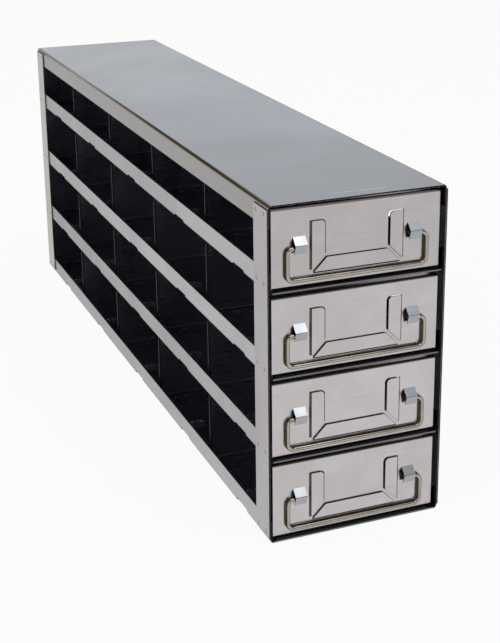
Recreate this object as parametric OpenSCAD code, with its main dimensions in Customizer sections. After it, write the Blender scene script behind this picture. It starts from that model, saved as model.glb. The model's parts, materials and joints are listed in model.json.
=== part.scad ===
// Freezer drawer rack: a frame of folded sheet steel that carries a column of
// sliding drawers, each parted into box compartments and pulled by a wire bail.
// X is the width, Y the depth with the front at -Y, Z is up, in millimetres.
// The origin is the centre of the base, and levels are counted from the base up.

/* [Rack] */
// Width over the corner posts
rack_width = 140; // [120:1:200]
// Depth of the frame from front edge to rear edge
rack_depth = 684; // [450:1:900]
// Height from one shelf to the next
shelf_pitch = 64.5; // [60:0.5:120]
// Number of drawers
drawer_count = 4; // [1:1:5]
// Number of box compartments along each drawer
compartments = 5; // [2:1:7]

/* [Frame] */
// Thickness of the frame's sheet steel
sheet = 1.2; // [0.8:0.1:2]
// Outside radius of the frame's bends
bend_radius = 2.6; // [2.2:0.1:4]
// Height of the flanges on the shelves and the cover
flange_height = 16.5; // [10:0.5:25]
// Width of the corner posts
post_width = 25; // [15:1:40]
// Distance of the posts' ends from the base and from the top
post_end_gap = 3.2; // [1:0.1:8]
// Width of the cut that frees a folded end from the flange beside it
corner_relief = 1.5; // [0.5:0.1:3]
// Length of the slots punched across the shelves' bends
slot_length = 24; // [10:1:60]
// Width of those slots, across the corner
slot_width = 4.6; // [3:0.1:8]
// Distance of each slot towards the front from the middle of its compartment
slot_lead = 14; // [0:1:30]

/* [Drawer tray] */
// Thickness of the tray's sheet steel
tray_sheet = 0.8; // [0.6:0.1:1.6]
// Outside radius of the tray's bends
tray_bend = 2; // [1.8:0.1:3]
// Play between the tray and the flange on each side
tray_side_play = 1.5; // [0.3:0.1:2]
// Play between the tray and the stop at the shelf's rear edge
tray_rear_play = 0.6; // [0.2:0.1:3]
// Height of the tray's side walls
wall_height = 13; // [8:0.5:30]
// Height of the flange that carries the front panel
front_flange_height = 22; // [12:0.5:35]
// Space left above the tray's rear wall
rear_wall_headroom = 3; // [2.5:0.5:30]
// Diameter of the round holes in the floor
hole_diameter = 15; // [6:0.5:25]
// Distance of the holes' centres from the tray's side
hole_inset = 14; // [12:0.5:30]

/* [Dividers] */
// Thickness of the dividers
divider_sheet = 1; // [0.6:0.1:1.6]
// Outside radius of the dividers' bends
divider_bend = 2; // [1.8:0.1:3]
// Length of the foot that lies on the floor
divider_foot = 15; // [8:0.5:25]
// Space left above the dividers
divider_headroom = 3; // [2.5:0.5:30]
// Play between a divider and each side wall
divider_play = 0.4; // [0.2:0.1:2]
// Radius of the dividers' upper corners
divider_corner = 3; // [1:0.5:10]

/* [Drawer front] */
// Thickness of the front panel
front_sheet = 1.2; // [0.8:0.1:2]
// Distance of the panel's face behind the frame's front edge
front_recess = 3.5; // [1:0.1:10]
// Gap between the panel and each post
front_side_gap = 3.3; // [2:0.1:6]
// Gap between the panel and its shelf
front_lower_gap = 2.1; // [1:0.1:5]
// Gap between the panel and the shelf above
front_upper_gap = 3.7; // [2.5:0.1:8]
// Outside radius of the bend along the panel's top
front_bend = 2.6; // [2.2:0.1:4]
// Length of the return behind the panel's top edge
front_return = 8; // [5:0.5:15]

/* [Label holder] */
// Width of the three tabs
tab_width = 9.8; // [6:0.1:14]
// Height of the side tabs
tab_height = 35.2; // [25:0.1:42]
// Distance that the tabs stand out of the panel
tab_offset = 1.5; // [1.3:0.1:3]
// Gap between the mitred ends of the tabs
tab_mitre_gap = 2.6; // [1:0.1:5]
// Radius of the side tabs' inner upper corners
tab_corner = 3; // [1:0.5:4]
// Width of the slit round each tab
tab_slit = 0.4; // [0.2:0.1:1]
// Width of the slits along the side tabs' inner edges
tab_side_slit = 1.2; // [0.2:0.1:2]
// Distance between the label holder and the clips
tab_clip_gap = 3.2; // [1:0.1:6]
// Distance between the label holder and the hanging bail
tab_bail_gap = 2.9; // [1:0.1:6]

/* [Handle] */
// Diameter of the bail's wire
wire_diameter = 3.2; // [2.4:0.1:5]
// Width of the bail between the middles of its arms
bail_width = 108.6; // [90:0.1:112]
// Height of the bail from its bar to its pivot
bail_drop = 23.5; // [18:0.1:28]
// Bend radius in the middle of the wire
bail_bend = 4.5; // [3:0.1:8]
// Height of the bail's bar above the panel's lower edge
bail_lift = 4.2; // [3:0.1:8]
// Gap between the wire and the panel
wire_gap = 0.4; // [0.3:0.1:2]
// Radial clearance of the wire in its clip
pin_clearance = 0.05; // [0.02:0.01:0.1]
// Distance of the wire's end inside the clip's inner side
pin_inset = 1.2; // [0.5:0.1:4]
// Width of the clips
clip_width = 9.3; // [6:0.1:14]
// Thickness of the clips' strap
clip_sheet = 0.7; // [0.6:0.1:1.6]
// Height of the clips above the pivot
clip_rise = 8; // [6:0.1:12]
// Height above the pivot where the clips' strap is folded
clip_facet = 2.3; // [1:0.1:4]
// Depth of the clips below the pivot
clip_drop = 4.2; // [2.5:0.1:5]
// Angle between the clips' lower face and upright
clip_lean = 22; // [10:1:30]
// Outside radius of the clips' fold
clip_bend = 1.2; // [1:0.1:2]
// Play between a clip and the bend of the bail
clip_play = 0.6; // [0.2:0.1:2]

/* [Hidden] */
$fn = 48;
levels = [1:drawer_count];
divider_places = [1:compartments - 1];
ends = ["front", "rear"];
sides = ["left", "right"];
drawer_parts = concat(
    ["tray", "front", "clip_left", "clip_right", "bail"],
    [for (k = divider_places) str("divider_", k)]
);

// Cutting shapes reach this far past the faces that they cut
cut_margin = 1;

// Frame
rack_height = drawer_count * shelf_pitch;
channel_width = rack_width - 2 * sheet;

// Drawer tray, in the frame of its shelf
front_face_y = -rack_depth / 2 + front_recess;
tray_front_y = front_face_y + front_sheet;
tray_rear_y = rack_depth / 2 - sheet - tray_rear_play;
tray_width = channel_width - 2 * (sheet + tray_side_play);
tray_end_width = tray_width - 2 * (tray_bend + corner_relief);
stop_width = tray_end_width - 2 * corner_relief;
tray_z = sheet;
floor_z = tray_z + tray_sheet;
headroom_z = shelf_pitch - sheet;
rear_wall_height = headroom_z - rear_wall_headroom - tray_z;

// Compartments and dividers
compartment_pitch = (tray_rear_y - tray_front_y - 2 * tray_sheet) / compartments;
divider_width = tray_width - 2 * (tray_sheet + divider_play);
divider_height = headroom_z - divider_headroom - floor_z;

// Drawer front
panel_width = channel_width - 2 * front_side_gap;
panel_z = sheet + front_lower_gap;
panel_height = shelf_pitch - front_upper_gap - panel_z;

// Bail and clips
wire_radius = wire_diameter / 2;
wire_out = wire_gap + wire_radius;
bail_half = bail_width / 2;
bar_z = panel_z + bail_lift;
pivot_z = bar_z + bail_drop;
clip_inner_radius = wire_radius + pin_clearance;
clip_outer_radius = clip_inner_radius + clip_sheet;
clip_outer_x = bail_half - bail_bend - clip_play;
clip_inner_x = clip_outer_x - clip_width;
pin_end_x = clip_inner_x + pin_inset;

// Label holder: the tabs meet the panel in ramps at 45 degrees
tab_ramp = tab_offset;
tab_outer_x = clip_inner_x - tab_clip_gap - tab_ramp;
tab_inner_x = tab_outer_x - tab_width;
mitre_shift = tab_mitre_gap / sqrt(2);
label_z = bar_z + wire_radius + tab_bail_gap;
label_top_z = label_z + mitre_shift + tab_height;

// Distance of the clips' lower face out of the panel, at a height above the pivot
function clip_face(z) = wire_out + (clip_outer_radius + z * sin(clip_lean)) / cos(clip_lean);

// Height of a level's shelf above the base
function level_z(i) = (i - 1) * shelf_pitch;

// Middle of a compartment, counted from the front
function compartment_y(k) = tray_front_y + tray_sheet + (k - 0.5) * compartment_pitch;

// Sheet folded to a right angle: its outside corner is at the origin
module fold_2d(leg_x, leg_y, thickness, radius) {
    difference() {
        union() {
            translate([radius, 0]) square([leg_x - radius, thickness]);
            translate([0, radius]) square([thickness, leg_y - radius]);
            intersection() {
                translate([radius, radius]) circle(radius);
                square(radius);
            }
        }
        translate([radius, radius]) circle(radius - thickness);
    }
}

// A fold that runs along X, with its legs towards +Y and +Z, centred on X
module cross_fold(length, leg_y, leg_z, thickness, radius) {
    translate([-length / 2, 0, 0])
        rotate([90, 0, 90])
            linear_extrude(length)
                fold_2d(leg_y, leg_z, thickness, radius);
}

// Channel with both side walls turned up, from one Y to another
module channel(width, y0, y1, wall, thickness, radius) {
    translate([0, y1, 0])
        rotate([90, 0, 0])
            linear_extrude(y1 - y0)
                for (m = [0, 1])
                    mirror([m, 0])
                        translate([-width / 2, 0])
                            fold_2d(width - radius, wall, thickness, radius);
}

// Room in the channel's floor for a folded end and the relief on both sides, open towards +Y
module end_cut(end_width, thickness, radius) {
    translate([-end_width / 2 - corner_relief, -radius - corner_relief, -cut_margin])
        cube([end_width + 2 * corner_relief, radius + corner_relief + cut_margin,
              thickness + 2 * cut_margin]);
}

// End folded up from the channel's floor, with its outside face at Y 0
module end_flange(end_width, height, thickness, radius) {
    mirror([0, 1, 0])
        cross_fold(end_width, 2 * (radius + corner_relief), height, thickness, radius);
}

// Channel with folded ends: an end height of 0 leaves that end open
module pan(width, y0, y1, wall, end_width, front, rear, thickness, radius) {
    difference() {
        channel(width, y0, y1, wall, thickness, radius);
        if (front > 0) translate([0, y0, 0]) mirror([0, 1, 0]) end_cut(end_width, thickness, radius);
        if (rear > 0) translate([0, y1, 0]) end_cut(end_width, thickness, radius);
    }
    if (front > 0)
        translate([0, y0, 0]) mirror([0, 1, 0]) end_flange(end_width, front, thickness, radius);
    if (rear > 0)
        translate([0, y1, 0]) end_flange(end_width, rear, thickness, radius);
}

// Slot with round ends, centred, with its length along Y
module slot_2d(length, width) {
    square([width, length - width], center = true);
    for (s = [-1, 1])
        translate([0, s * (length - width) / 2]) circle(d = width);
}

// Top cover with its flanges turned down
module top_cover() {
    color([0.68, 0.70, 0.73])
        translate([0, 0, rack_height])
            mirror([0, 0, 1])
                channel(channel_width, -rack_depth / 2, rack_depth / 2, flange_height, sheet, bend_radius);
}

// Slots punched through both bends of a shelf, one for each compartment
module bend_slots() {
    for (s = [-1, 1])
        for (k = [1:compartments])
            translate([s * channel_width / 2, compartment_y(k) - slot_lead, 0])
                rotate([0, -s * 45, 0])
                    translate([0, 0, -slot_width])
                        linear_extrude(3 * slot_width)
                            slot_2d(slot_length, slot_width);
}

// Shelf with a stop along its rear edge
module shelf(i) {
    color([0.66, 0.65, 0.63])
        translate([0, 0, level_z(i)])
            difference() {
                pan(channel_width, -rack_depth / 2, rack_depth / 2, flange_height, stop_width,
                    0, flange_height, sheet, bend_radius);
                bend_slots();
            }
}

// Flat corner post, welded outside the flanges
module post(end, side) {
    x = side == "left" ? -rack_width / 2 : rack_width / 2 - sheet;
    y = end == "front" ? -rack_depth / 2 : rack_depth / 2 - post_width;
    color([0.70, 0.69, 0.67])
        translate([x, y, post_end_gap])
            cube([sheet, post_width, rack_height - 2 * post_end_gap]);
}

// Drawer tray: its floor slides on the shelf, and its rear wall closes the corners above the reliefs
module tray(i) {
    ear_z = tray_bend + corner_relief;
    color([0.60, 0.60, 0.61])
        translate([0, 0, level_z(i) + tray_z]) {
            difference() {
                pan(tray_width, tray_front_y, tray_rear_y, wall_height, tray_end_width,
                    front_flange_height, rear_wall_height, tray_sheet, tray_bend);
                for (s = [-1, 1])
                    for (k = [1:compartments])
                        translate([s * (tray_width / 2 - hole_inset), compartment_y(k), -cut_margin])
                            cylinder(d = hole_diameter, h = tray_sheet + 2 * cut_margin);
            }
            translate([-tray_width / 2, tray_rear_y - tray_sheet, ear_z])
                cube([tray_width, tray_sheet, rear_wall_height - ear_z]);
        }
}

// Divider: an upright plate with its foot towards the front
module divider(i, k) {
    y = tray_front_y + tray_sheet + k * compartment_pitch + divider_sheet / 2;
    color([0.58, 0.58, 0.60])
        translate([0, y, level_z(i) + floor_z])
            intersection() {
                mirror([0, 1, 0])
                    cross_fold(divider_width, divider_foot, divider_height, divider_sheet, divider_bend);
                rotate([90, 0, 0])
                    translate([0, 0, -cut_margin])
                        linear_extrude(divider_foot + 2 * cut_margin)
                            divider_2d();
            }
}

// Outline of a divider, with its lower corners notched to clear the tray's bends
module divider_2d() {
    difference() {
        round_top_2d(divider_width, divider_height, divider_corner);
        for (s = [-1, 1])
            translate([s * divider_width / 2, 0]) square(2 * tray_bend, center = true);
    }
}

// Upright rectangle with its upper corners rounded, centred on X
module round_top_2d(width, height, radius) {
    translate([-width / 2, 0]) square([width, height - radius]);
    translate([-width / 2 + radius, 0]) square([width - 2 * radius, height]);
    for (s = [-1, 1])
        translate([s * (width / 2 - radius), height - radius]) circle(radius);
}

// Upright rectangle with its upper left corner rounded and its lower left corner at the origin
module round_left_2d(width, height, radius) {
    square([width, height - radius]);
    translate([radius, 0]) square([width - radius, height]);
    translate([radius, height - radius]) circle(radius);
}

// Side tab of the label holder, on the right, seen from the front
module side_tab_2d() {
    foot_z = label_z + mitre_shift;
    difference() {
        translate([tab_inner_x, foot_z])
            round_left_2d(tab_width, label_top_z - foot_z, tab_corner);
        polygon([
            [tab_inner_x, foot_z],
            [tab_outer_x, foot_z],
            [tab_inner_x, foot_z + tab_width],
        ]);
    }
}

// Lower tab of the label holder with mitred ends
module lower_tab_2d() {
    polygon([
        [-tab_outer_x + mitre_shift, label_z],
        [tab_outer_x - mitre_shift, label_z],
        [tab_inner_x - mitre_shift, label_z + tab_width],
        [-tab_inner_x + mitre_shift, label_z + tab_width],
    ]);
}

// Opening in the panel behind the right side tab
module side_window_2d() {
    foot_z = label_z + mitre_shift - tab_slit;
    inner_x = tab_inner_x - tab_side_slit;
    root_x = tab_outer_x + tab_ramp;
    difference() {
        translate([inner_x, foot_z])
            round_left_2d(root_x - inner_x, label_top_z + tab_slit - foot_z, tab_corner + tab_slit);
        polygon([[inner_x, foot_z], [tab_outer_x, foot_z], [inner_x, foot_z + tab_outer_x - inner_x]]);
    }
}

// Opening in the panel behind the lower tab
module lower_window_2d() {
    lower_x = tab_outer_x - mitre_shift + tab_slit;
    upper_x = tab_inner_x - mitre_shift + tab_slit;
    polygon([
        [-lower_x, label_z - tab_ramp],
        [lower_x, label_z - tab_ramp],
        [lower_x, label_z],
        [upper_x, label_z + tab_width + tab_slit],
        [-upper_x, label_z + tab_width + tab_slit],
        [-lower_x, label_z],
    ]);
}

// Section of a ramp from a tab's edge to the panel: along the panel, then outwards
module ramp_2d() {
    polygon([
        [0, tab_offset],
        [tab_ramp, 0],
        [tab_ramp, -front_sheet],
        [0, tab_offset - front_sheet],
    ]);
}

// Flat shape seen from the front, made solid between two distances out of the panel
module on_front(from, to) {
    translate([0, front_face_y - from, 0])
        rotate([90, 0, 0])
            linear_extrude(to - from)
                children();
}

// The three lanced tabs with their ramps
module label_tabs() {
    on_front(tab_offset - front_sheet, tab_offset) {
        lower_tab_2d();
        for (m = [0, 1]) mirror([m, 0]) side_tab_2d();
    }
    ramp_foot_z = label_z + mitre_shift;
    for (m = [0, 1])
        mirror([m, 0, 0])
            translate([tab_outer_x, front_face_y, ramp_foot_z])
                mirror([0, 1, 0])
                    linear_extrude(label_top_z - ramp_foot_z)
                        ramp_2d();
    lower_length = 2 * (tab_outer_x - mitre_shift);
    translate([-lower_length / 2, front_face_y, label_z])
        rotate([0, 90, 0])
            mirror([0, 1, 0])
                linear_extrude(lower_length)
                    ramp_2d();
}

// Front panel with a return along its top and the label holder
module front(i) {
    color([0.71, 0.70, 0.69])
        translate([0, 0, level_z(i)]) {
            difference() {
                translate([0, front_face_y, panel_z + panel_height])
                    mirror([0, 0, 1])
                        cross_fold(panel_width, front_return, panel_height, front_sheet, front_bend);
                on_front(-front_sheet - cut_margin, cut_margin) {
                    lower_window_2d();
                    for (m = [0, 1]) mirror([m, 0]) side_window_2d();
                }
            }
            label_tabs();
        }
}

// Space between the panel and a clip's outer faces, past the ends of its strap
module clip_space_2d() {
    fold_out = clip_face(clip_facet);
    slope = (clip_rise - clip_facet) / fold_out;
    offset(r = clip_bend)
        offset(delta = -clip_bend)
            polygon([
                [-clip_rise, clip_rise * (1 + slope)],
                [fold_out, clip_facet],
                [clip_face(-clip_rise), -clip_rise],
                [-clip_rise, -clip_rise],
            ]);
}

// Section of a clip: distance out of the panel, then height above the pivot
module clip_2d() {
    intersection() {
        difference() {
            clip_space_2d();
            offset(delta = -clip_sheet) clip_space_2d();
        }
        translate([0, -clip_drop]) square([clip_face(clip_rise), clip_drop + clip_rise]);
    }
}

// Folded strap that holds one end of the bail
module clip(i, side) {
    color([0.86, 0.86, 0.87])
        translate([0, front_face_y, level_z(i) + pivot_z])
            mirror([side == "left" ? 1 : 0, 0, 0])
                translate([clip_inner_x, 0, 0])
                    rotate([90, 0, 90])
                        linear_extrude(clip_width)
                            mirror([1, 0])
                                clip_2d();
}

// Straight wire along X from one place to another
module wire_x(from, to) {
    translate([from, 0, 0])
        rotate([0, 90, 0])
            cylinder(r = wire_radius, h = to - from);
}

// Quarter bend of the wire, from +X round to +Z
module wire_bend() {
    rotate([90, 0, 0])
        rotate_extrude(angle = 90)
            translate([bail_bend, 0]) circle(wire_radius);
}

// Wire handle: its ends turn in the clips, and its bar hangs below
module bail(i) {
    corner_x = bail_half - bail_bend;
    color([0.62, 0.60, 0.55])
        translate([0, front_face_y - wire_out, level_z(i) + pivot_z]) {
            translate([0, 0, -bail_drop]) wire_x(-corner_x, corner_x);
            for (m = [0, 1])
                mirror([m, 0, 0]) {
                    wire_x(pin_end_x, corner_x);
                    translate([corner_x, 0, -bail_bend]) wire_bend();
                    translate([bail_half, 0, -bail_drop + bail_bend])
                        cylinder(r = wire_radius, h = bail_drop - 2 * bail_bend);
                    translate([corner_x, 0, -bail_drop + bail_bend]) mirror([0, 0, 1]) wire_bend();
                }
        }
}

top_cover();
for (i = levels) shelf(i);
for (e = ends) for (s = sides) post(e, s);
for (i = levels) tray(i);
for (i = levels) front(i);
for (i = levels) for (k = divider_places)
    divider(i, k);
for (i = levels) for (s = sides)
    clip(i, s);
for (i = levels) bail(i);
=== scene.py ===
"""Dresses the freezer drawer rack: steel finishes, spot-weld marks, studio and camera.

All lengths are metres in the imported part's own frame: the drawer fronts face -Y and Z is up.
"""

import json
import logging
import math
from dataclasses import dataclass, replace
from enum import Enum
from typing import ClassVar

import bmesh
import bpy
from mathutils import Matrix, Vector

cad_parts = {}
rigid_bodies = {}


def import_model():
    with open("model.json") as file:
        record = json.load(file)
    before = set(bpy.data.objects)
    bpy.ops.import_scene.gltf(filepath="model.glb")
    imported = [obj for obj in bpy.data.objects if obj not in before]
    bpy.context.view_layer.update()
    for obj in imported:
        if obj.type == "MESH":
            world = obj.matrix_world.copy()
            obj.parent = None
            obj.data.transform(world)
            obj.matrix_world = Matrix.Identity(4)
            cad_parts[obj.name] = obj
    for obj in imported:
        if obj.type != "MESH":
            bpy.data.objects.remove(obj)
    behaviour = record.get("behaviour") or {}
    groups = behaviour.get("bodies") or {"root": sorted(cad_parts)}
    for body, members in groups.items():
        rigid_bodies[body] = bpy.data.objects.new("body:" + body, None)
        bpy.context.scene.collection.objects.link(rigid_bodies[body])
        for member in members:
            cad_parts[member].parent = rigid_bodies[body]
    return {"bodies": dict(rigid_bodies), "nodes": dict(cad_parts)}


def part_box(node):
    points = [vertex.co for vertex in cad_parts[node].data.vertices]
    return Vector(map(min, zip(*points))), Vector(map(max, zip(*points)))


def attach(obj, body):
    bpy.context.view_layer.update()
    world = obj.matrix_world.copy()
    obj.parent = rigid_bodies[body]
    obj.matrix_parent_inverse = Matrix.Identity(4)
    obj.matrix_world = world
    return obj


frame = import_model()

LOG = logging.getLogger("freezer_rack")
DRAWERS = sum(body.startswith("drawer_") for body in frame["bodies"])

Colour = tuple[float, float, float]
Triple = tuple[float, float, float]
Pair = tuple[float, float]
Span = tuple[float, float]

WHITE: Colour = (1.0, 1.0, 1.0)
UNIT: Span = (0.0, 1.0)
# A length that reaches past every piece
FAR = 1.0
# How far a normal leans along an axis on faces that are square to it
SQUARE: Span = (0.9, 1.1)
FLAT: Span = (0.95, 1.1)


def rgba(colour: Colour) -> tuple[float, float, float, float]:
    """Returns the colour with full alpha."""
    return (*colour, 1.0)


def dimmed(colour: Colour, share: float) -> Colour:
    """Returns the colour with each part scaled by the share."""
    return tuple(part * share for part in colour)


def up_to(limit: float) -> Span:
    """Returns the span of every place below the limit."""
    return (-FAR, limit)


def beyond(limit: float) -> Span:
    """Returns the span of every place above the limit."""
    return (limit, FAR)


class Axis(Enum):
    """Direction in the part's frame, as a unit vector."""

    X = (1.0, 0.0, 0.0)
    Y = (0.0, 1.0, 0.0)
    Z = (0.0, 0.0, 1.0)


class Side(Enum):
    """Side of the rack seen from the front, as the sign of X."""

    LEFT = -1
    RIGHT = 1


class End(Enum):
    """End of the rack, as the sign of Y."""

    FRONT = -1
    REAR = 1


class Graph:
    """Adds nodes to one shader tree and links them."""

    def __init__(self, tree: bpy.types.NodeTree) -> None:
        """Starts from an empty tree.

        Args:
            tree: The tree of a material, a world or a shader node group.
        """
        self.tree = tree
        tree.nodes.clear()

    def add(self, kind: str, inputs: dict | None = None, **settings: object) -> bpy.types.Node:
        """Adds one node.

        Args:
            kind: Blender's node type.
            inputs: Socket name or number to a value, or to an output socket to link from.
            **settings: Properties of the node.

        Returns:
            The new node.
        """
        node = self.tree.nodes.new(kind)
        for name, value in settings.items():
            setattr(node, name, value)
        for key, value in (inputs or {}).items():
            if isinstance(value, bpy.types.NodeSocket):
                self.tree.links.new(value, node.inputs[key])
            else:
                node.inputs[key].default_value = value
        return node

    def math(self, operation: str, *values: object) -> bpy.types.NodeSocket:
        """Adds a Math node and returns its output.

        Args:
            operation: Blender's name of the operation.
            *values: Numbers or output sockets, in order.

        Returns:
            The result's socket.
        """
        return self.add("ShaderNodeMath", dict(enumerate(values)), operation=operation).outputs[0]

    def mix(self, factor: object, a: object, b: object) -> bpy.types.NodeSocket:
        """Mixes two colours.

        Args:
            factor: Number or socket, 0 for a and 1 for b.
            a: First colour, as RGBA or a socket.
            b: Second colour, as RGBA or a socket.

        Returns:
            The mixed colour's socket.
        """
        node = self.add("ShaderNodeMix", data_type="RGBA")
        for name, value in (("Factor_Float", factor), ("A_Color", a), ("B_Color", b)):
            socket = next(s for s in node.inputs if s.identifier == name)
            if isinstance(value, bpy.types.NodeSocket):
                self.tree.links.new(value, socket)
            else:
                socket.default_value = value
        return next(s for s in node.outputs if s.identifier == "Result_Color")

    def remap(self, value: bpy.types.NodeSocket, source: Span, target: Span = UNIT,
              smooth: bool = False) -> bpy.types.NodeSocket:
        """Maps a value from one range to another, clamped.

        Args:
            value: The value's socket.
            source: Range that comes in.
            target: Range that goes out.
            smooth: Eases both ends of the range.

        Returns:
            The mapped value's socket.
        """
        node = self.add("ShaderNodeMapRange", dict(enumerate((value, *source, *target))),
                        interpolation_type="SMOOTHSTEP" if smooth else "LINEAR")
        return node.outputs[0]


class SurfaceEffects:
    """Shader node groups that the finishes share, each built once."""

    GRAIN_SPAN: ClassVar[Span] = (0.28, 0.72)
    FILM_SPAN: ClassVar[Span] = (0.33, 0.68)
    SCRATCH_SPAN: ClassVar[Span] = (0.66, 0.74)
    SCRATCH_LINES: ClassVar[Triple] = (22.0, 22.0, 620.0)
    INWARD_LEAN: ClassVar[float] = -0.6

    def __init__(self) -> None:
        """Builds the groups."""
        self.grain = self._brushed_grain()
        self.film = self._cloudy_film()
        self.scratches = self._fine_scratches()
        self.leaning = self._leaning_faces()
        self.inner = self._inner_faces()

    @staticmethod
    def _group(name: str, inputs: dict[str, str],
               output: str) -> tuple[Graph, dict[str, bpy.types.NodeSocket]]:
        """Starts a group with named inputs and one value that it puts out.

        Args:
            name: Name of the group.
            inputs: Input names and their socket types.
            output: Name of the output.

        Returns:
            The group's graph and its input sockets by name.
        """
        tree = bpy.data.node_groups.new(name, "ShaderNodeTree")
        for label, kind in inputs.items():
            tree.interface.new_socket(label, in_out="INPUT", socket_type=f"NodeSocket{kind}")
        tree.interface.new_socket(output, in_out="OUTPUT", socket_type="NodeSocketFloat")
        graph = Graph(tree)
        given = graph.add("NodeGroupInput")
        return graph, {label: given.outputs[label] for label in inputs}

    def _brushed_grain(self) -> bpy.types.NodeTree:
        """Fine lines from rolling and brushing: Stretch gives the lines per metre along each axis.

        Returns:
            The group, with a Grain output from 0 to 1.
        """
        graph, given = self._group("Brushed grain", {"Stretch": "Vector"}, "Grain")
        place = graph.add("ShaderNodeTexCoord").outputs["Object"]
        spread = graph.add("ShaderNodeVectorMath", {0: place, 1: given["Stretch"]},
                           operation="MULTIPLY")
        noise = graph.add("ShaderNodeTexNoise", {"Vector": spread.outputs[0], "Scale": 1.0,
                                                 "Detail": 3.0, "Roughness": 0.62})
        graph.add("NodeGroupOutput", {"Grain": graph.remap(noise.outputs[0], self.GRAIN_SPAN)})
        return graph.tree

    def _cloudy_film(self) -> bpy.types.NodeTree:
        """Soft patches of handling film: Scale is in patches per metre, and Shift moves the pattern.

        Returns:
            The group, with a Mask output from 0 to 1.
        """
        graph, given = self._group("Cloudy film", {"Scale": "Float", "Shift": "Vector"}, "Mask")
        place = graph.add("ShaderNodeTexCoord").outputs["Object"]
        moved = graph.add("ShaderNodeVectorMath", {0: place, 1: given["Shift"]}, operation="ADD")
        wide = graph.add("ShaderNodeTexNoise", {"Vector": moved.outputs[0], "Scale": given["Scale"],
                                                "Detail": 4.0, "Roughness": 0.55, "Distortion": 0.4})
        mask = graph.remap(wide.outputs[0], self.FILM_SPAN, smooth=True)
        graph.add("NodeGroupOutput", {"Mask": mask})
        return graph.tree

    def _fine_scratches(self) -> bpy.types.NodeTree:
        """Sparse hairline scratches: Turn slants them, in radians about each axis.

        Returns:
            The group, with a Mask output from 0 to 1.
        """
        graph, given = self._group("Fine scratches", {"Turn": "Vector"}, "Mask")
        place = graph.add("ShaderNodeTexCoord").outputs["Object"]
        turned = graph.add("ShaderNodeMapping", {"Vector": place, "Rotation": given["Turn"],
                                                 "Scale": self.SCRATCH_LINES})
        lines = graph.add("ShaderNodeTexNoise", {"Vector": turned.outputs[0], "Scale": 1.0,
                                                 "Detail": 1.0})
        mask = graph.remap(lines.outputs[0], self.SCRATCH_SPAN, smooth=True)
        graph.add("NodeGroupOutput", {"Mask": mask})
        return graph.tree

    def _leaning_faces(self) -> bpy.types.NodeTree:
        """Faces whose normal leans along Direction by Lean, inside a span of X and of Y.

        Each span is its middle and its reach to either side.

        Returns:
            The group, with a Mask output of 0 or 1.
        """
        inputs = {"Direction": "Vector"}
        for span in ("Lean", "Across", "Along"):
            inputs |= {span: "Float", f"{span} reach": "Float"}
        graph, given = self._group("Leaning faces", inputs, "Mask")
        coordinates = graph.add("ShaderNodeTexCoord").outputs
        lean = graph.add("ShaderNodeVectorMath", {0: coordinates["Normal"], 1: given["Direction"]},
                         operation="DOT_PRODUCT").outputs["Value"]
        place = graph.add("ShaderNodeSeparateXYZ", {0: coordinates["Object"]}).outputs
        mask = graph.math("COMPARE", graph.math("ABSOLUTE", lean), given["Lean"], given["Lean reach"])
        for axis, span in ((place[0], "Across"), (place[1], "Along")):
            inside = graph.math("COMPARE", axis, given[span], given[f"{span} reach"])
            mask = graph.math("MULTIPLY", mask, inside)
        graph.add("NodeGroupOutput", {"Mask": mask})
        return graph.tree

    def _inner_faces(self) -> bpy.types.NodeTree:
        """Faces of the side flanges and posts that look in at the drawers.

        Returns:
            The group, with a Mask output of 0 or 1.
        """
        graph, _ = self._group("Inner faces", {}, "Mask")
        coordinates = graph.add("ShaderNodeTexCoord").outputs
        across = graph.add("ShaderNodeSeparateXYZ", {0: coordinates["Object"]}).outputs[0]
        facing = graph.add("ShaderNodeSeparateXYZ", {0: coordinates["Normal"]}).outputs[0]
        outward = graph.math("MULTIPLY", graph.math("SIGN", across), facing)
        inward = graph.math("LESS_THAN", outward, self.INWARD_LEAN)
        graph.add("NodeGroupOutput", {"Mask": inward})
        return graph.tree


@dataclass(frozen=True)
class FaceTone:
    """Colour of the faces that lean a certain way, such as bends, ramps and cut edges: mostly painted
    shade and painted reflection.

    The lean is the part of the unit normal along the axis, whichever way it points. Across and
    along are the spans of X and of Y that the faces lie in.
    """

    axis: Axis
    lean: Span
    colour: Colour
    across: Span = (-FAR, FAR)
    along: Span = (-FAR, FAR)

    def mask(self, graph: Graph, effects: SurfaceEffects) -> bpy.types.NodeSocket:
        """Finds the faces.

        Args:
            graph: Graph of the material.
            effects: The shared node groups.

        Returns:
            The socket of a mask that is 1 on the faces.
        """
        mask = graph.add("ShaderNodeGroup", node_tree=effects.leaning)
        mask.inputs["Direction"].default_value = self.axis.value
        spans = {"Lean": self.lean, "Across": self.across, "Along": self.along}
        for span, (low, high) in spans.items():
            mask.inputs[span].default_value = (low + high) / 2
            mask.inputs[f"{span} reach"].default_value = (high - low) / 2
        return mask.outputs["Mask"]

    def lay(self, graph: Graph, effects: SurfaceEffects,
            below: bpy.types.NodeSocket) -> bpy.types.NodeSocket:
        """Lays the tone over a colour.

        Args:
            graph: Graph of the material.
            effects: The shared node groups.
            below: Colour of the other faces.

        Returns:
            The mixed colour's socket.
        """
        return graph.mix(self.mask(graph, effects), below, rgba(self.colour))


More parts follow.
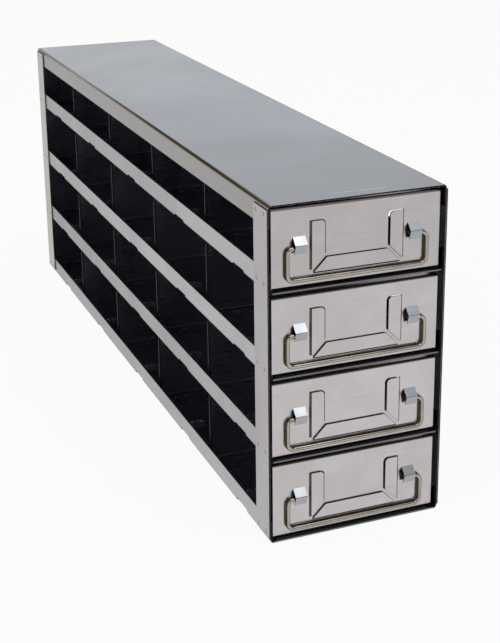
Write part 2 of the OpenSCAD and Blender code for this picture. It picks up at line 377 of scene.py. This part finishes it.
@dataclass(frozen=True)
class PaleLine:
    """One pale line along the sheet, across the rack."""

    middle: Pair
    length: float
    width: float
    colour: Colour
    strength: float = 0.8
    fade_from: float = 0.35

    def lay(self, graph: Graph, below: bpy.types.NodeSocket) -> bpy.types.NodeSocket:
        """Lays the line over a colour.

        Args:
            graph: Graph of the material.
            below: Colour of the sheet.

        Returns:
            The mixed colour's socket.
        """
        place = graph.add("ShaderNodeTexCoord").outputs["Object"]
        axes = graph.add("ShaderNodeSeparateXYZ", {0: place}).outputs
        along = graph.math("ABSOLUTE", graph.math("SUBTRACT", axes[0], self.middle[0]))
        aside = graph.math("ABSOLUTE", graph.math("SUBTRACT", axes[1], self.middle[1]))
        ends = graph.remap(along, (self.length * self.fade_from, self.length / 2),
                           (self.strength, 0.0), smooth=True)
        sides = graph.remap(aside, (0.0, self.width), (1.0, 0.0), smooth=True)
        return graph.mix(graph.math("MULTIPLY", ends, sides), below, rgba(self.colour))


@dataclass(frozen=True)
class SteelFinish:
    """Rolled and brushed stainless steel.

    The film, the blush and the scratches vary the base colour. The tones paint shade and reflection
    onto single faces, the inner colour paints shade onto the faces that look in at the drawers, and
    the matt tones paint dark shade onto faces that are also made non-metal. The grain has its lines
    per metre across it, and its streaks per metre along it.
    """

    FILM_WEAR: ClassVar[float] = 0.6
    GRAIN_WEAR: ClassVar[float] = 0.4
    GRAIN_DEPTH: ClassVar[float] = 0.0001
    BLUSH_SCALE: ClassVar[float] = 1.7
    BLUSH_SHIFT: ClassVar[Triple] = (0.31, 0.12, 0.23)
    SCRATCH_TURNS: ClassVar[tuple[Triple, ...]] = ((0.0, 0.55, 0.0), (0.0, -0.3, 0.4))
    SCRATCH_SHADE: ClassVar[float] = 0.6

    name: str
    base: Colour
    film: Colour
    roughness: Span
    grain: Axis
    blush: Colour | None = None
    inner: Colour | None = None
    grain_contrast: float = 0.05
    grain_relief: float = 0.06
    film_scale: float = 14.0
    lines: float = 900.0
    streak: float = 26.0
    scratch: float = 0.0
    tones: tuple[FaceTone, ...] = ()
    matt: tuple[FaceTone, ...] = ()
    pale_line: PaleLine | None = None
    edge_tint: float = 1.0
    matt_gloss: float = 0.5

    def build(self, effects: SurfaceEffects) -> bpy.types.Material:
        """Builds the material.

        Args:
            effects: The shared node groups.

        Returns:
            The material.
        """
        material = bpy.data.materials.new(self.name)
        material.use_nodes = True
        graph = Graph(material.node_tree)
        group = graph.add("ShaderNodeGroup", node_tree=effects.grain)
        group.inputs["Stretch"].default_value = [self.streak if part else self.lines
                                                 for part in self.grain.value]
        grain = group.outputs["Grain"]
        film = self._patches(graph, effects, self.film_scale, (0.0, 0.0, 0.0))
        colour = self._sheet(graph, effects, grain, film)
        # Painted shade and painted reflection on the faces that the tones pick out
        for tone in self.tones:
            colour = tone.lay(graph, effects, colour)
        # Painted shade on the faces that look in at the drawers
        if self.inner:
            mask = graph.add("ShaderNodeGroup", node_tree=effects.inner)
            colour = graph.mix(mask.outputs["Mask"], colour, rgba(self.inner))
        metal: object = 1.0
        # Painted dark shade on faces that are also made non-metal
        for edge in self.matt:
            colour = edge.lay(graph, effects, colour)
            metal = graph.math("SUBTRACT", metal, edge.mask(graph, effects))
        wear = graph.math("MULTIPLY_ADD", film, self.FILM_WEAR,
                          graph.math("MULTIPLY", grain, self.GRAIN_WEAR))
        bump = graph.add("ShaderNodeBump", {"Strength": self.grain_relief, "Height": grain,
                                            "Distance": self.GRAIN_DEPTH})
        shader = graph.add("ShaderNodeBsdfPrincipled", {
            "Base Color": colour, "Metallic": metal, "Normal": bump.outputs[0],
            "Roughness": graph.remap(wear, UNIT, self.roughness),
            "Specular Tint": rgba((self.edge_tint,) * 3), "Specular IOR Level": self.matt_gloss})
        graph.add("ShaderNodeOutputMaterial", {"Surface": shader.outputs[0]})
        return material

    def shaded(self, number: int, shade: float) -> "SteelFinish":
        """Takes the same finish for another sheet, with painted light or shade that makes it a little
        lighter or darker.

        Args:
            number: Number of the sheet, for the finish's name.
            shade: Share of the first sheet's colours.

        Returns:
            The other sheet's finish.
        """
        return replace(self, name=f"{self.name}_{number}", base=dimmed(self.base, shade),
                       film=dimmed(self.film, shade),
                       blush=dimmed(self.blush, shade) if self.blush else None)

    def _patches(self, graph: Graph, effects: SurfaceEffects, scale: float,
                 shift: Triple) -> bpy.types.NodeSocket:
        """Adds one layer of cloudy film.

        Args:
            graph: Graph of the material.
            effects: The shared node groups.
            scale: Patches per metre.
            shift: Where the pattern starts.

        Returns:
            The mask's socket.
        """
        film = graph.add("ShaderNodeGroup", node_tree=effects.film)
        film.inputs["Scale"].default_value = scale
        film.inputs["Shift"].default_value = shift
        return film.outputs["Mask"]

    def _sheet(self, graph: Graph, effects: SurfaceEffects, grain: bpy.types.NodeSocket,
               film: bpy.types.NodeSocket) -> bpy.types.NodeSocket:
        """Colours the sheet's flat faces.

        Args:
            graph: Graph of the material.
            effects: The shared node groups.
            grain: Value of the grain.
            film: Mask of the film.

        Returns:
            The colour's socket.
        """
        colour = graph.mix(film, rgba(self.base), rgba(self.film))
        if self.blush:
            patches = self._patches(graph, effects, self.film_scale * self.BLUSH_SCALE,
                                    self.BLUSH_SHIFT)
            colour = graph.mix(patches, colour, rgba(self.blush))
        if self.scratch:
            for turn in self.SCRATCH_TURNS:
                lines = graph.add("ShaderNodeGroup", node_tree=effects.scratches)
                lines.inputs["Turn"].default_value = turn
                share = graph.math("MULTIPLY", lines.outputs["Mask"], self.scratch)
                colour = graph.mix(share, colour, rgba(dimmed(self.base, self.SCRATCH_SHADE)))
        if self.pale_line:
            colour = self.pale_line.lay(graph, colour)
        shade = graph.remap(grain, UNIT, (1.0 - self.grain_contrast, 1.0 + self.grain_contrast))
        return graph.add("ShaderNodeVectorMath", {0: colour, "Scale": shade},
                         operation="SCALE").outputs[0]


@dataclass(frozen=True)
class HeatTintFinish:
    """Spot weld: a dished middle inside a ring of straw heat tint that fades towards its rim."""

    name: str = "weld_heat_tint"
    attribute: str = "from_middle"
    middle: Colour = (0.40, 0.36, 0.31)
    straw: Colour = (0.33, 0.26, 0.18)
    rim: Colour = (0.45, 0.425, 0.41)
    speckle: float = 900.0
    speckle_span: Span = (0.3, 0.7)
    waver: float = 0.18
    ring_span: Span = (0.15, 0.5)
    rim_span: Span = (0.6, 1.0)
    roughness: Span = (0.5, 0.36)

    def build(self) -> bpy.types.Material:
        """Builds the material.

        Returns:
            The material.
        """
        material = bpy.data.materials.new(self.name)
        material.use_nodes = True
        graph = Graph(material.node_tree)
        radius = graph.add("ShaderNodeAttribute", attribute_name=self.attribute).outputs["Fac"]
        place = graph.add("ShaderNodeTexCoord").outputs["Object"]
        uneven = graph.add("ShaderNodeTexNoise", {"Vector": place, "Scale": self.speckle,
                                                  "Detail": 2.0})
        waver = graph.remap(uneven.outputs[0], self.speckle_span, (-self.waver, self.waver))
        wobble = graph.math("ADD", radius, waver)
        ring = graph.remap(wobble, self.ring_span, smooth=True)
        fade = graph.remap(wobble, self.rim_span, smooth=True)
        dish = graph.mix(ring, rgba(self.middle), rgba(self.straw))
        shader = graph.add("ShaderNodeBsdfPrincipled", {
            "Base Color": graph.mix(fade, dish, rgba(self.rim)), "Metallic": 1.0,
            "Roughness": graph.remap(fade, UNIT, self.roughness)})
        graph.add("ShaderNodeOutputMaterial", {"Surface": shader.outputs[0]})
        return material


class Finishes:
    """Every material of the rack, built once and handed to the sub-assemblies."""

    # Painted shade and painted reflection: dark tones for bends, cut edges, ramps, sides and inner
    # faces, where the steel lies in shadow or mirrors dark surroundings
    OLIVE: ClassVar[Colour] = (0.20, 0.175, 0.105)
    BROWN: ClassVar[Colour] = (0.085, 0.062, 0.050)
    RUSSET: ClassVar[Colour] = (0.15, 0.115, 0.095)
    UMBER: ClassVar[Colour] = (0.17, 0.135, 0.11)
    BLACK: ClassVar[Colour] = (0.012, 0.012, 0.018)
    DEEP_SHADE: ClassVar[Colour] = (0.045, 0.042, 0.042)
    SIDE_SHADE: ClassVar[Colour] = (0.05, 0.05, 0.06)
    NAVY: ClassVar[Colour] = (0.050, 0.053, 0.075)
    # Painted light and shade: each shelf and each front a little lighter or darker than the first
    SHELF_SHADES: ClassVar[tuple[float, ...]] = (1.0, 0.93, 1.06, 1.0)
    FRONT_SHADES: ClassVar[tuple[float, ...]] = (1.0, 1.03, 0.99, 0.90)
    # Painted shade on the cut ends and top cut edges, and painted reflection of dark surroundings on
    # the side bends: olive on the left, near black on the right
    CUT_END: ClassVar[FaceTone] = FaceTone(Axis.Y, SQUARE, BLACK)
    CUT_TOP: ClassVar[FaceTone] = FaceTone(Axis.Z, SQUARE, BROWN)
    BENDS: ClassVar[tuple[FaceTone, ...]] = (
        FaceTone(Axis.X, (0.25, 0.95), OLIVE, across=up_to(0.0)),
        FaceTone(Axis.X, (0.03, 0.95), DEEP_SHADE, across=beyond(0.0)))

    def __init__(self) -> None:
        """Builds the shared effects and the materials."""
        effects = SurfaceEffects()
        self.cover = self._cover().build(effects)
        shelf = self._shelf()
        self.shelves = [shelf.shaded(number, shade).build(effects)
                        for number, shade in enumerate(self.SHELF_SHADES, 1)]
        self.posts = {End.FRONT: self._front_post().build(effects),
                      End.REAR: self._rear_post().build(effects)}
        front = self._front()
        self.fronts = [front.shaded(number, shade).build(effects)
                       for number, shade in enumerate(self.FRONT_SHADES, 1)]
        self.tray = self._tray().build(effects)
        self.divider = self._divider().build(effects)
        self.clip = self._clip().build(effects)
        self.wire = self._wire().build(effects)
        self.weld = HeatTintFinish().build()
        # Painted shade: a darker copy of the weld marks for the inside of the trays
        self.foot_weld = HeatTintFinish(
            "foot_heat_tint", middle=(0.20, 0.19, 0.19), straw=(0.15, 0.115, 0.08),
            rim=(0.24, 0.24, 0.27)).build()

    def _cover(self, line_inset: float = 0.011) -> SteelFinish:
        """Describes the cover: bluish top, painted shade on the flanges, the bends, the front cut
        edge and the inner faces, and a pale line near its front edge.

        Args:
            line_inset: Distance of the pale line from the front edge.

        Returns:
            The finish.
        """
        front_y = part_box("top_cover")[0].y
        # Painted shade: the flanges darker than the top
        flange = FaceTone(Axis.X, FLAT, (0.35, 0.342, 0.33))
        return SteelFinish(
            "cover_steel", base=(0.675, 0.685, 0.71), film=(0.645, 0.655, 0.68),
            roughness=(0.18, 0.25), grain=Axis.Y, inner=self.NAVY, film_scale=7.0,
            grain_contrast=0.02, grain_relief=0.012, edge_tint=0.75,
            tones=(flange, *self.BENDS, self.CUT_END),
            pale_line=PaleLine(middle=(0.004, front_y + line_inset), length=0.050, width=0.0013,
                        colour=(0.95, 0.95, 0.96)))

    def _shelf(self, edge_reach: float = 0.0015, lip_reach: float = 0.005,
               flange_reach: float = 0.0028) -> SteelFinish:
        """Describes the shelves: bright flanges, and painted shade on the front lip and edge, the
        bends, the flanges' cut ends and the inner faces.

        Args:
            edge_reach: How far the front edge's tone reaches back.
            lip_reach: How far the dim front lip of the shelf reaches back.
            flange_reach: How far the flanges' dark cut ends reach in from the sides.

        Returns:
            The finish.
        """
        low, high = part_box("shelf_1")
        # Painted shade on the front lip, the front edge and the flanges' cut ends
        lip = FaceTone(Axis.Z, SQUARE, (0.12, 0.12, 0.125), along=up_to(low.y + lip_reach))
        edge = FaceTone(Axis.Y, SQUARE, (0.17, 0.165, 0.165), along=up_to(low.y + edge_reach))
        left_end = replace(self.CUT_END, across=up_to(low.x + flange_reach))
        right_end = replace(self.CUT_END, across=beyond(high.x - flange_reach))
        return SteelFinish(
            "shelf_steel", base=(0.57, 0.553, 0.556), film=(0.50, 0.493, 0.503),
            roughness=(0.22, 0.30), grain=Axis.Y, inner=self.NAVY, film_scale=9.0,
            grain_contrast=0.03, grain_relief=0.03, edge_tint=0.6,
            tones=(lip, *self.BENDS, edge, left_end, right_end))

    def _front_post(self) -> SteelFinish:
        """Describes the front posts: pinkish grey with fine scratches, and painted shade on the cut
        edges, the top edge and the inner face.

        Returns:
            The finish.
        """
        # Painted shade on the inner face, the cut ends and the top edge
        return SteelFinish(
            "post_steel", base=(0.522, 0.503, 0.503), film=(0.492, 0.463, 0.467),
            roughness=(0.24, 0.32), grain=Axis.Z, inner=(0.45, 0.46, 0.50), scratch=0.15,
            grain_contrast=0.018, grain_relief=0.02, edge_tint=0.7,
            tones=(replace(self.CUT_END, colour=self.DEEP_SHADE), self.CUT_TOP))

    def _rear_post(self) -> SteelFinish:
        """Describes the rear posts: painted light makes them paler and warmer than the front ones,
        with painted shade on the cut ends, the top edge and the inner face.

        Returns:
            The finish.
        """
        # Painted light: a paler copy of the front posts' steel; painted shade on the cut ends, the
        # top and the inner face
        return replace(self._front_post(), name="rear_post_steel", base=(0.60, 0.595, 0.56),
                       film=(0.57, 0.56, 0.53), inner=self.NAVY,
                       tones=(replace(self.CUT_END, colour=self.OLIVE), self.CUT_TOP))

    def _front(self, tab_proud: float = 0.0016, ramp: Span = (0.0036, 0.0047)) -> SteelFinish:
        """Describes the drawer fronts: warm sheet with painted brown shade and reflection on ramps,
        edges and top bend.

        Args:
            tab_proud: Distance from the tabs' faces back to just behind the panel's face.
            ramp: Where the painted shade on the left tab's ramp starts and ends, measured from the
                left clip.

        Returns:
            The finish.
        """
        behind_face = beyond(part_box("drawer_1_front")[0].y + tab_proud)
        clip_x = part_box("drawer_1_clip_left")[1].x
        # Painted shade on the left tab's ramp
        left_ramp = FaceTone(Axis.X, (0.6, 0.8), (0.095, 0.072, 0.054),
                             across=(clip_x + ramp[0], clip_x + ramp[1]))
        return SteelFinish(
            "front_steel", base=(0.545, 0.518, 0.53), film=(0.53, 0.48, 0.487),
            roughness=(0.18, 0.26), grain=Axis.X, blush=(0.50, 0.48, 0.475), film_scale=24.0,
            scratch=0.10, grain_contrast=0.02, grain_relief=0.025, matt=(left_ramp,), matt_gloss=0.1,
            # Painted shade and painted reflection on the ramps, the side edges and the top bend
            tones=(FaceTone(Axis.Y, (0.2, 0.92), self.RUSSET),
                   FaceTone(Axis.X, SQUARE, self.RUSSET),
                   FaceTone(Axis.Z, (0.25, 0.98), self.UMBER, along=behind_face),
                   FaceTone(Axis.Z, (0.20, 0.58), (0.45, 0.42, 0.41), along=behind_face)))

    def _tray(self, wall_reach: float = 0.0004) -> SteelFinish:
        """Describes the trays: bluish steel darkened by painted shade, darker painted shade on the
        sides, and a paler outer face at the rear.

        Args:
            wall_reach: Thickness of the rear wall's outer skin that takes the paler tone.

        Returns:
            The finish.
        """
        rear_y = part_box("drawer_1_tray")[1].y
        # Painted shade: the steel is darkened for the inside of the rack, and darker still on the
        # sides; the rear wall's outer face keeps a paler steel
        rear_wall = FaceTone(Axis.Y, SQUARE, (0.42, 0.415, 0.41), along=beyond(rear_y - wall_reach))
        return SteelFinish(
            "tray_steel", base=(0.285, 0.30, 0.352), film=(0.255, 0.27, 0.322),
            roughness=(0.22, 0.34), grain=Axis.Y, grain_relief=0.03, edge_tint=0.3,
            tones=(FaceTone(Axis.X, FLAT, self.SIDE_SHADE), rear_wall))

    def _divider(self, corner_reach: float = 0.0017) -> SteelFinish:
        """Describes the dividers: the tray's darkened steel, with painted dark shade on matt side
        edges.

        Args:
            corner_reach: How far the matt edges reach in from the sides.

        Returns:
            The finish.
        """
        low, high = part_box("drawer_1_divider_1")
        # Painted dark shade on the side edges
        left = FaceTone(Axis.Y, SQUARE, (0.014, 0.013, 0.014), across=up_to(low.x + corner_reach))
        right = replace(left, across=beyond(high.x - corner_reach))
        edges = FaceTone(Axis.X, (0.3, 1.1), left.colour)
        return replace(self._tray(), name="divider_steel", grain=Axis.X, edge_tint=0.35, tones=(),
                       matt=(left, right, edges), matt_gloss=0.1)

    def _clip(self) -> SteelFinish:
        """Describes the clips: bright strap, with painted shade on the forward faces and the sides.

        Returns:
            The finish.
        """
        # Painted shade on the forward faces and the sides
        return SteelFinish(
            "clip_steel", base=(0.60, 0.61, 0.635), film=(0.53, 0.54, 0.565),
            roughness=(0.14, 0.22), grain=Axis.X, film_scale=90.0, grain_contrast=0.04,
            grain_relief=0.01, tones=(FaceTone(Axis.Y, (0.86, 1.1), (0.37, 0.37, 0.385)),
                                      FaceTone(Axis.X, SQUARE, self.SIDE_SHADE)))

    def _wire(self) -> SteelFinish:
        """Describes the bails: drawn wire, with painted brown shade and reflection where it faces
        aside or straight up.

        Returns:
            The finish.
        """
        # Painted brown shade and reflection where the wire faces aside or straight up
        return SteelFinish(
            "wire_steel", base=(0.405, 0.38, 0.335), film=(0.345, 0.32, 0.28),
            roughness=(0.12, 0.20), grain=Axis.X, film_scale=60.0, grain_contrast=0.04,
            grain_relief=0.02, edge_tint=0.2,
            tones=(FaceTone(Axis.X, (0.6, 1.1), (0.15, 0.118, 0.083)),
                   FaceTone(Axis.Z, (0.93, 1.1), (0.16, 0.125, 0.085))))


def dress(node: str, material: bpy.types.Material) -> None:
    """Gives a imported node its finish.

    Args:
        node: Name of the node.
        material: The finish.
    """
    piece = frame["nodes"][node]
    piece.data.materials.clear()
    piece.data.materials.append(material)
    LOG.info("dressed %s with %s", node, material.name)


@dataclass(frozen=True)
class EdgeRounding:
    """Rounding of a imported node's sharp edges, so that they catch the light."""

    width: float = 0.00018
    segments: int = 2
    sharp_angle: float = 40.0
    join_distance: float = 1e-6

    def soften(self, node: str) -> None:
        """Joins the node's loose triangles and rounds its edges.

        Args:
            node: Name of the node.
        """
        piece = frame["nodes"][node]
        weld = piece.modifiers.new("join_triangles", "WELD")
        weld.merge_threshold = self.join_distance
        bevel = piece.modifiers.new("soft_edges", "BEVEL")
        bevel.width = self.width
        bevel.segments = self.segments
        bevel.profile = 0.5
        bevel.limit_method = "ANGLE"
        bevel.angle_limit = math.radians(self.sharp_angle)
        bevel.use_clamp_overlap = True
        bevel.harden_normals = True


@dataclass
class SpotWelds:
    """Marks of the spot welds on one face."""

    radius: float = 0.0021
    proud: float = 0.00012
    dish: float = 0.00008
    segments: int = 20
    lid_share: float = 0.86
    dish_inset: float = 0.36
    dish_shade: float = 0.55

    def build(self, name: str, body: str, slot: str, places: list[Vector], turn: Matrix,
              material: bpy.types.Material) -> bpy.types.Object:
        """Builds the marks as one piece.

        Args:
            name: Name of the piece.
            body: Body that carries it.
            slot: Material slot of the record; not used.
            places: Middle of each mark on the face.
            turn: Rotation that takes Z to the face's normal.
            material: Finish of the marks.

        Returns:
            The piece.
        """
        mesh = bmesh.new()
        shade = mesh.verts.layers.float.new(HeatTintFinish.attribute)
        for place in places:
            self._mark(mesh, shade, Matrix.Translation(place) @ turn)
        return finish_piece(mesh, name, body, material)

    def _mark(self, mesh: bmesh.types.BMesh, shade: object, place: Matrix) -> None:
        """Adds one dished mark.

        Args:
            mesh: Mesh that the mark is added to.
            shade: Layer that holds the distance from the mark's middle, 1 at its rim.
            place: Where the mark goes, with its own Z along the face's normal.
        """
        disc = bmesh.ops.create_cone(
            mesh, cap_ends=True, segments=self.segments, radius1=self.radius,
            radius2=self.radius * self.lid_share, depth=self.proud * 2)["verts"]
        for vert in disc:
            vert[shade] = 1.0
        lid = self._top_face(disc)
        ring = bmesh.ops.inset_region(mesh, faces=[lid], thickness=self.radius * self.dish_inset,
                                      depth=0.0)["faces"]
        middle = list(lid.verts)
        for vert in middle:
            vert[shade] = self.dish_shade
        poked = bmesh.ops.poke(mesh, faces=[lid])["verts"]
        for vert in poked:
            vert[shade] = 0.0
            vert.co.z -= self.dish
        added = {*disc, *middle, *poked, *(vert for face in ring for vert in face.verts)}
        bmesh.ops.transform(mesh, matrix=place, verts=list(added))

    @staticmethod
    def _top_face(verts: list[bmesh.types.BMVert]) -> bmesh.types.BMFace:
        """Returns the highest face that joins the given vertices."""
        faces = {face for vert in verts for face in vert.link_faces}
        return max(faces, key=lambda face: face.calc_center_median().z)


def finish_piece(mesh: bmesh.types.BMesh, name: str, body: str,
                 material: bpy.types.Material) -> bpy.types.Object:
    """Turns a bmesh into a piece that rides on a body.

    Args:
        mesh: The modelled mesh, freed here.
        name: Name of the piece.
        body: Body that carries it.
        material: Its finish.

    Returns:
        The piece.
    """
    bmesh.ops.recalc_face_normals(mesh, faces=mesh.faces[:])
    data = bpy.data.meshes.new(name)
    mesh.to_mesh(data)
    mesh.free()
    data.materials.append(material)
    piece = bpy.data.objects.new(name, data)
    bpy.context.scene.collection.objects.link(piece)
    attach(piece, body)
    LOG.info("built %s on %s", name, body)
    return piece


@dataclass
class RackFrame:
    """Cover, shelves and corner posts with their weld marks."""

    finishes: Finishes
    edges: EdgeRounding = EdgeRounding()
    weld_insets: Pair = (0.006, 0.020)
    weld_height: float = 0.0072

    def build(self) -> None:
        """Dresses the frame's nodes and adds the weld marks."""
        dress("top_cover", self.finishes.cover)
        self.edges.soften("top_cover")
        shelves = [f"shelf_{number}" for number in range(1, DRAWERS + 1)]
        for shelf, steel in zip(shelves, self.finishes.shelves):
            dress(shelf, steel)
        heights = [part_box(shelf)[0].z + self.weld_height for shelf in shelves]
        heights.append(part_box("top_cover")[1].z - self.weld_height)
        for end in End:
            for side in Side:
                self._post(side, end, heights)

    def _post(self, side: Side, end: End, heights: list[float]) -> None:
        """Dresses one corner post and marks its welds to the flanges.

        Args:
            side: Side that the post stands on.
            end: End that it stands at.
            heights: Height of each row of welds.
        """
        corner = f"{end.name.lower()}_{side.name.lower()}"
        dress(f"post_{corner}", self.finishes.posts[end])
        self.edges.soften(f"post_{corner}")
        low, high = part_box(f"post_{corner}")
        face = low.x if side is Side.LEFT else high.x
        rim = low.y if end is End.FRONT else high.y
        places = [Vector((face, rim - end.value * inset, height))
                  for height in heights for inset in self.weld_insets]
        turn = Matrix.Rotation(side.value * math.pi / 2, 4, "Y")
        SpotWelds().build(f"weld_marks_{corner}", "frame", "frame_steel", places, turn,
                          self.finishes.weld)


@dataclass
class Drawer:
    """One drawer: tray, dividers, front panel, clips and bail."""

    number: int
    finishes: Finishes
    divider_sheet: float = 0.001
    weld_reach: float = 0.042
    weld_inset: float = 0.0065

    def build(self) -> None:
        """Dresses the drawer's nodes and marks the welds of the dividers' feet."""
        name = f"drawer_{self.number}"
        dress(f"{name}_tray", self.finishes.tray)
        dress(f"{name}_front", self.finishes.fronts[self.number - 1])
        places = []
        for divider in [node for node in frame["nodes"] if node.startswith(f"{name}_divider_")]:
            dress(divider, self.finishes.divider)
            places += self._foot_welds(divider)
        SpotWelds().build(f"foot_welds_{self.number}", name, "drawer_steel", places,
                          Matrix.Identity(4), self.finishes.foot_weld)
        for side in Side:
            dress(f"{name}_clip_{side.name.lower()}", self.finishes.clip)
        dress(f"{name}_bail", self.finishes.wire)

    def _foot_welds(self, divider: str) -> list[Vector]:
        """Finds where a divider's foot is welded to the tray.

        Args:
            divider: Name of the divider's node.

        Returns:
            The middle of each weld on the foot's upper face.
        """
        low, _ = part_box(divider)
        return [Vector((side.value * self.weld_reach, low.y + self.weld_inset,
                        low.z + self.divider_sheet)) for side in Side]


@dataclass(frozen=True)
class Softbox:
    """One area light that faces a point, with its width and height and its power in watts."""

    name: str
    place: Triple
    target: Triple
    size: Pair
    power: float

    def build(self) -> None:
        """Adds the light."""
        lamp = bpy.data.lights.new(self.name, "AREA")
        lamp.shape = "RECTANGLE"
        lamp.size, lamp.size_y = self.size
        lamp.energy = self.power
        light = bpy.data.objects.new(self.name, lamp)
        light.location = self.place
        way = Vector(self.target) - Vector(self.place)
        light.rotation_euler = way.to_track_quat("-Z", "Y").to_euler()
        bpy.context.scene.collection.objects.link(light)


@dataclass
class Studio:
    """Pale floor, soft lights, white background and the camera."""

    floor_size: float = 14.0
    floor_tone: Colour = (0.86, 0.855, 0.845)
    floor_roughness: float = 0.9
    floor_glow: float = 0.92
    fill_light: float = 0.55
    softboxes: tuple[Softbox, ...] = (
        Softbox("overhead_softbox", place=(0.0, -1.0, 2.2), target=(0.0, -0.2, 0.1),
                size=(1.9, 1.4), power=11.0),
        Softbox("side_softbox", place=(-2.2, -0.8, 1.3), target=(0.0, 0.0, 0.12),
                size=(1.2, 1.2), power=12.0))
    backdrop: tuple[tuple[float, Colour], ...] = (
        (0.01, WHITE), (0.10, (0.97, 0.98, 1.0)), (0.165, (0.84, 0.89, 0.93)),
        (0.276, (0.64, 0.66, 0.72)), (0.375, (0.30, 0.28, 0.24)), (0.46, (0.16, 0.145, 0.11)),
        (0.70, (0.17, 0.155, 0.12)), (0.83, (0.50, 0.55, 0.62)), (0.93, (0.95, 0.95, 0.95)))
    camera_place: Triple = (-0.39908, -1.15865, 0.51746)
    azimuth: float = -22.006
    elevation: float = 17.836
    roll: float = -0.459
    focal_px: float = 1358.72
    principal_px: Pair = (268.0, 240.0)
    image_px: tuple[int, int] = (500, 643)
    sensor_mm: float = 36.0

    def build(self) -> None:
        """Builds the whole studio."""
        self._floor()
        for softbox in self.softboxes:
            softbox.build()
        self._world()
        self._camera()
        bpy.context.scene.view_settings.view_transform = "Standard"

    def _floor(self) -> None:
        """Adds the floor, which looks white but keeps the rack's shadow."""
        mesh = bmesh.new()
        bmesh.ops.create_grid(mesh, x_segments=1, y_segments=1, size=self.floor_size / 2)
        data = bpy.data.meshes.new("floor")
        mesh.to_mesh(data)
        mesh.free()
        floor = bpy.data.objects.new("floor", data)
        bpy.context.scene.collection.objects.link(floor)
        material = bpy.data.materials.new("pale_floor")
        material.use_nodes = True
        graph = Graph(material.node_tree)
        matt = graph.add("ShaderNodeBsdfPrincipled", {"Base Color": rgba(self.floor_tone),
                                                      "Roughness": self.floor_roughness})
        glow = graph.add("ShaderNodeEmission", {"Color": rgba(WHITE), "Strength": 1.0})
        share = graph.math("MULTIPLY", self._seen(graph), self.floor_glow)
        both = graph.add("ShaderNodeMixShader", {0: share, 1: matt.outputs[0], 2: glow.outputs[0]})
        graph.add("ShaderNodeOutputMaterial", {"Surface": both.outputs[0]})
        data.materials.append(material)

    @staticmethod
    def _seen(graph: Graph) -> bpy.types.NodeSocket:
        """Finds the rays that show the background: straight, reflected or through glass.

        Args:
            graph: Graph of the floor or the world.

        Returns:
            The socket of a mask that is 1 for those rays.
        """
        path = graph.add("ShaderNodeLightPath").outputs
        mirrored = graph.math("MAXIMUM", path["Is Glossy Ray"], path["Is Transmission Ray"])
        return graph.math("MAXIMUM", path["Is Camera Ray"], mirrored)

    def _world(self) -> None:
        """Adds plain fill light, and the background that the camera and the steel see.

        The background is white at the horizon, dim higher up and pale overhead.
        """
        world = bpy.data.worlds.new("studio")
        bpy.context.scene.world = world
        world.use_nodes = True
        graph = Graph(world.node_tree)
        way = graph.add("ShaderNodeTexCoord").outputs["Generated"]
        height = graph.add("ShaderNodeSeparateXYZ", {0: way}).outputs[2]
        ramp = graph.add("ShaderNodeValToRGB", {0: height})
        stops = ramp.color_ramp.elements
        stops[0].position, stops[1].position = self.backdrop[0][0], self.backdrop[-1][0]
        for place, _ in self.backdrop[1:-1]:
            stops.new(place)
        for stop, (_, colour) in zip(stops, self.backdrop):
            stop.color = rgba(colour)
        plain = graph.add("ShaderNodeBackground", {"Color": rgba(WHITE), "Strength": self.fill_light})
        shown = graph.add("ShaderNodeBackground", {"Color": ramp.outputs[0], "Strength": 1.0})
        both = graph.add("ShaderNodeMixShader", {0: self._seen(graph), 1: plain.outputs[0],
                                                 2: shown.outputs[0]})
        graph.add("ShaderNodeOutputWorld", {"Surface": both.outputs[0]})

    def _camera(self) -> None:
        """Places the camera at the photograph's viewing angle."""
        az, el, roll = (math.radians(angle) for angle in (self.azimuth, self.elevation, self.roll))
        back = Vector((math.sin(az) * math.cos(el), -math.cos(az) * math.cos(el), math.sin(el)))
        level = Vector((math.cos(az), math.sin(az), 0.0))
        upright = back.cross(level)
        right = math.cos(roll) * level + math.sin(roll) * upright
        up = math.cos(roll) * upright - math.sin(roll) * level
        lens = bpy.data.cameras.new("camera")
        wide, tall = self.image_px
        longer = max(wide, tall)
        lens.sensor_width = self.sensor_mm
        lens.lens = self.focal_px * self.sensor_mm / longer
        lens.shift_x = (wide / 2 - self.principal_px[0]) / longer
        lens.shift_y = (self.principal_px[1] - tall / 2) / longer
        camera = bpy.data.objects.new("camera", lens)
        camera.location = self.camera_place
        camera.rotation_mode = "QUATERNION"
        camera.rotation_quaternion = Matrix((right, up, back)).transposed().to_quaternion()
        bpy.context.scene.collection.objects.link(camera)
        bpy.context.scene.camera = camera


def main() -> None:
    logging.basicConfig(level=logging.INFO, format="%(message)s")
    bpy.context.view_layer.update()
    finishes = Finishes()
    RackFrame(finishes).build()
    for number in range(1, DRAWERS + 1):
        Drawer(number, finishes).build()
    Studio().build()


if __name__ == "__main__":
    main()
